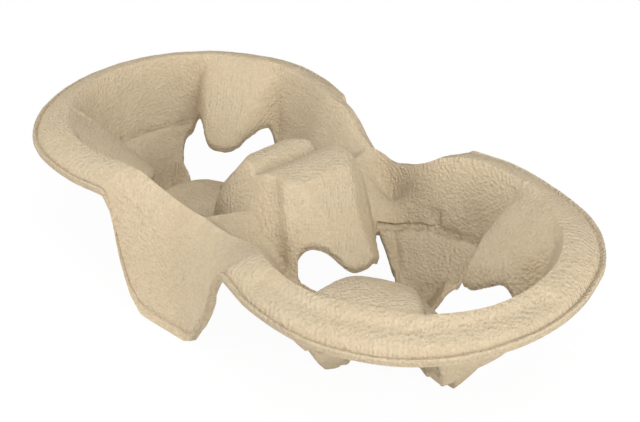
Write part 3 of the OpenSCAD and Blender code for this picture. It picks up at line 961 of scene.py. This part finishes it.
# %% [markdown]
# ## Materials
# A material is a tree of nodes. One helper adds a node with its settings and its
# links, so that each line below reads as one step. Another turns the colours that
# a screen shows into the linear values that light is worked out with. Patterns
# are set by their real size in millimetres.


# %% Material helpers
def linear(hex_colour):
    """A screen colour such as D6C49F as linear values."""
    rgb = [int(hex_colour[i:i + 2], 16) / 255 for i in (0, 2, 4)]
    return [c / 12.92 if c <= .04045 else ((c + .055) / 1.055) ** 2.4 for c in rgb] + [1]


def node(tree, kind, settings=(), links=()):
    """One shader node, its settings or input values, and its incoming links."""
    made = tree.nodes.new(kind)
    for name, value in dict(settings).items():
        if isinstance(name, str) and hasattr(made, name):
            setattr(made, name, value)
        else:
            made.inputs[name].default_value = value
    for name, source in dict(links).items():
        tree.links.new(getattr(source, "outputs", [source])[0], made.inputs[name])
    return made


def spans(low_in, high_in, low_out, high_out):
    """The settings that turn one range of values into another."""
    return {"From Min": low_in, "From Max": high_in, "To Min": low_out, "To Max": high_out}


def per_metre(size):
    """The scale of a pattern whose features are the given size in millimetres."""
    return 1 / (size * MM)


MATHS, RANGE, NOISE = "ShaderNodeMath", "ShaderNodeMapRange", "ShaderNodeTexNoise"
TIMES = {"operation": "MULTIPLY"}
print("a screen grey of 808080 is", round(linear("808080")[0], 3), "in light")

# %% [markdown]
# ## Moulded paper pulp
# The material is recycled paper fibre, moulded wet on a wire mesh and left raw.
# Paper has no metal in it and an IOR near 1.5, but its face is so rough that it
# hardly shines. To the eye it is a dry, warm beige with soft clouds, small tufts
# and a faint woven print. An image could carry all this, but it would stretch
# over the steep walls. Patterns in space have the same grain on every slope.

# %% Pulp body and patterns
CLOUDS, TUFTS, LEATHER = 16.7, 2.38, 1.02
FIBRES = .8  # a paper fibre is far thinner than a pixel, so it is drawn as coarse as this to show
WIRES = 1.2  # between two wires, drawn wider than the mesh of a mould so that it shows
WAVE_LENGTH = .314  # a wave of scale 1 repeats at this distance
MESH_TURN = (.62, .48, .8)
WAVER = {"Distortion": 5, "Detail": 2, "Detail Scale": .6}  # a pressed mesh is never quite even
pulp = bpy.data.materials.new("moulded_pulp")
pulp.use_nodes = True
tree = pulp.node_tree
raw_pulp = tree.nodes["Principled BSDF"]
raw_pulp.inputs["Roughness"].default_value = .95
raw_pulp.inputs["IOR"].default_value = 1.5
raw_pulp.inputs["Specular IOR Level"].default_value = .15
place = {"Vector": node(tree, "ShaderNodeTexCoord").outputs["Object"]}
clouds = node(tree, NOISE, {"Scale": per_metre(CLOUDS), "Detail": 5, "Roughness": .6}, place)
tufts = node(tree, NOISE, {"Scale": per_metre(TUFTS), "Detail": 3, "Roughness": .7}, place)
fibres = node(tree, NOISE, {"Scale": per_metre(FIBRES), "Detail": 4, "Roughness": .85}, place)
leather = node(tree, "ShaderNodeTexVoronoi", {"Scale": per_metre(LEATHER)}, place)
mesh_place = node(tree, "ShaderNodeMapping", {"Rotation": MESH_TURN}, place)
wire_scale = {"Scale": WAVE_LENGTH * per_metre(WIRES)}
wires = [node(tree, "ShaderNodeTexWave", {"bands_direction": axis, **wire_scale, **WAVER},
              {"Vector": mesh_place}).outputs["Fac"] for axis in "XY"]
print("patterns of", CLOUDS, TUFTS, LEATHER, FIBRES, "and", WIRES, "mm")

# %% Pulp relief
PRINT_HEIGHT, FIBRE_HEIGHT, TUFT_HEIGHT, LEATHER_HEIGHT = .42, .55, .5, .5
RELIEF = .9 * MM
PATCHES = spans(.4, .62, .1, 1)  # the print comes and goes with the clouds
pressed = node(tree, "ShaderNodeAttribute", {"attribute_name": "woven"}).outputs["Fac"]
in_patches = node(tree, RANGE, PATCHES, {"Value": clouds})
print_here = node(tree, MATHS, TIMES, {0: pressed, 1: in_patches})
weave = node(tree, MATHS, TIMES, {0: wires[0], 1: wires[1]})
printed = node(tree, MATHS, TIMES, {0: weave, 1: print_here})
relief = node(tree, MATHS, {**TIMES, 1: LEATHER_HEIGHT}, {0: leather})
for pattern, height in ((printed, PRINT_HEIGHT), (fibres, FIBRE_HEIGHT), (tufts, TUFT_HEIGHT)):
    relief = node(tree, MATHS, {"operation": "MULTIPLY_ADD", 1: height}, {0: pattern, 2: relief})
bumps = node(tree, "ShaderNodeBump", {"Strength": 1.0, "Distance": RELIEF}, {"Height": relief})
tree.links.new(bumps.outputs["Normal"], raw_pulp.inputs["Normal"])
print("a height of 1 in the relief is", round(RELIEF / MM, 1), "mm")

# %% Pulp colour
PULP_COLOURS = {.3: "C3B194", .7: "CFBEA2"}
HOLE_SHADE_AND_DUST = .07  # painted shade and dust: the pulp is a little darker in the holes of the mesh
# The soft slopes of a well are a tenth darker, and the cut edge gets painted shade, a sixth darker all
# round.
SLOPE_SHADE, EDGE_PAINTED_SHADE = spans(0, 1, .9, 1), spans(0, 1, 1, .84)
FIBRE_SHADE, TUFT_SHADE = spans(.38, .62, .92, 1.06), spans(.3, .7, .95, 1.04)
shade = node(tree, "ShaderNodeValToRGB", {}, {"Fac": clouds})
for stop, (position, colour) in zip(shade.color_ramp.elements, PULP_COLOURS.items()):
    stop.position = position
    stop.color = linear(colour)
between = node(tree, MATHS, {"operation": "SUBTRACT", 0: 1}, {1: weave})
hole_shade_and_dust = node(tree, MATHS, TIMES, {0: between, 1: print_here})
edge_shade_mask = node(tree, "ShaderNodeAttribute", {"attribute_name": "torn"}).outputs["Fac"]
strength = node(tree, MATHS, {"operation": "MULTIPLY_ADD", 1: -HOLE_SHADE_AND_DUST, 2: 1}, {0: hole_shade_and_dust})
for source, shading in ((fibres, FIBRE_SHADE), (tufts, TUFT_SHADE), (pressed, SLOPE_SHADE),
                        (edge_shade_mask, EDGE_PAINTED_SHADE)):
    factor = node(tree, RANGE, shading, {"Value": source})
    strength = node(tree, MATHS, TIMES, {0: strength, 1: factor})
tint = node(tree, "ShaderNodeVectorMath", {"operation": "SCALE"}, {0: shade, "Scale": strength})
tree.links.new(tint.outputs["Vector"], raw_pulp.inputs["Base Color"])
mesh.materials.append(pulp)
print("the pulp has", len(tree.nodes), "nodes")

# %% [markdown]
# ## White paper floor
# The photograph is a cut-out on white. The floor is matt white paper, which has
# no shine. Paper lit by these lamps alone would look grey. So what the camera
# sees of it is nearly all an even white of strength 1, and the rest is the paper
# itself, which carries the soft shadow of the carrier. Only the camera sees that
# white, so it puts no light on the pulp.

# %% Floor
FLOOR_SIZE, FLOOR_GLOW = 6, .96
bpy.ops.mesh.primitive_plane_add(size=FLOOR_SIZE, location=(0, 0, 0))
floor = bpy.context.object
floor.name = "floor"
white_paper = bpy.data.materials.new("white_paper")
white_paper.use_nodes = True
tree = white_paper.node_tree
paper = tree.nodes["Principled BSDF"]
paper.inputs["Base Color"].default_value = linear("F3F3F3")
paper.inputs["Roughness"].default_value = 1
glow = node(tree, "ShaderNodeEmission", {"Color": linear("FFFFFF"), "Strength": 1.0})
camera_ray = node(tree, "ShaderNodeLightPath").outputs["Is Camera Ray"]
share = node(tree, MATHS, {**TIMES, 1: FLOOR_GLOW}, {0: camera_ray})
seen_floor = node(tree, "ShaderNodeMixShader", {}, {0: share, 1: paper, 2: glow})
tree.links.new(seen_floor.outputs[0], tree.nodes["Material Output"].inputs["Surface"])
floor.data.materials.append(white_paper)
print("the floor is", FLOOR_SIZE, "m wide")

# %% [markdown]
# ## Light
# The carrier was lit from all round, with a little more light from the left, the
# right and above. A sky picture would add colours of its own. So the sky is an
# even white, dimmed for everything but the camera, and three wide soft lamps of
# low power model the form.

# %% Sky
SKY_LIGHT = .43
world = bpy.data.worlds.new("studio")
bpy.context.scene.world = world
world.use_nodes = True
tree = world.node_tree
background = tree.nodes["Background"].inputs
background["Color"].default_value = linear("FFFFFF")
camera_ray = node(tree, "ShaderNodeLightPath").outputs["Is Camera Ray"]
brightness = node(tree, RANGE, spans(0, 1, SKY_LIGHT, 1), {"Value": camera_ray})
tree.links.new(brightness.outputs["Result"], background["Strength"])
print("the sky lights the pulp at", SKY_LIGHT)

# %% Lamps
LAMP_AIM = Vector((0, 0, .03))
LAMPS = {"left": ((-.6, -.95, .42), .6, 7), "right": ((1.1, -.1, .35), .6, 9),
         "above": ((.5, -.35, 1.1), .7, 9.3)}  # place, size in metres and power in watts
for name, (place, size, power) in LAMPS.items():
    light = bpy.data.lights.new(name, "AREA")
    light.size = size
    light.energy = power
    lamp = bpy.data.objects.new(name, light)
    lamp.location = place
    lamp.rotation_euler = (LAMP_AIM - Vector(place)).to_track_quat("-Z", "Y").to_euler()
    bpy.context.scene.collection.objects.link(lamp)
print(len(LAMPS), "lamps of", sum(power for _, _, power in LAMPS.values()), "watts together")

# %% [markdown]
# ## Camera
# The view is that of the photograph. It could be set by eye, but a camera worked
# out from places that can be found both in the picture and on the part is nearer:
# its angles, its distance, its focal length in pixels and the pixel that it aims
# at. That pixel isn't the middle of the picture, so the lens is shifted.

# %% Camera
PICTURE_WIDTH, PICTURE_HEIGHT = 640, 422
AIM_X, AIM_Y, FOCAL = 292.77, 176.41, 1141.14  # in pixels
AZIMUTH, ELEVATION = math.radians(48.724), math.radians(29.905)
DISTANCE, AIM_Z, NEAREST = .37345, .04342, .01  # in metres
SENSOR = 36
camera_data = bpy.data.cameras.new("camera")
camera = bpy.data.objects.new("camera", camera_data)
bpy.context.scene.collection.objects.link(camera)
back = Vector((math.sin(AZIMUTH) * math.cos(ELEVATION), -math.cos(AZIMUTH) * math.cos(ELEVATION),
               math.sin(ELEVATION)))
camera.location = Vector((0, 0, AIM_Z)) + back * DISTANCE
camera.rotation_euler = back.to_track_quat("Z", "Y").to_euler()
camera_data.sensor_width = SENSOR
camera_data.lens = FOCAL * SENSOR / PICTURE_WIDTH
camera_data.shift_x = (PICTURE_WIDTH / 2 - AIM_X) / PICTURE_WIDTH
camera_data.shift_y = (AIM_Y - PICTURE_HEIGHT / 2) / PICTURE_WIDTH
camera_data.clip_start = NEAREST
bpy.context.scene.camera = camera
bpy.context.scene.view_settings.view_transform = "Standard"
print("the camera stands at", np.round(camera.location, 3).tolist(), "metres")
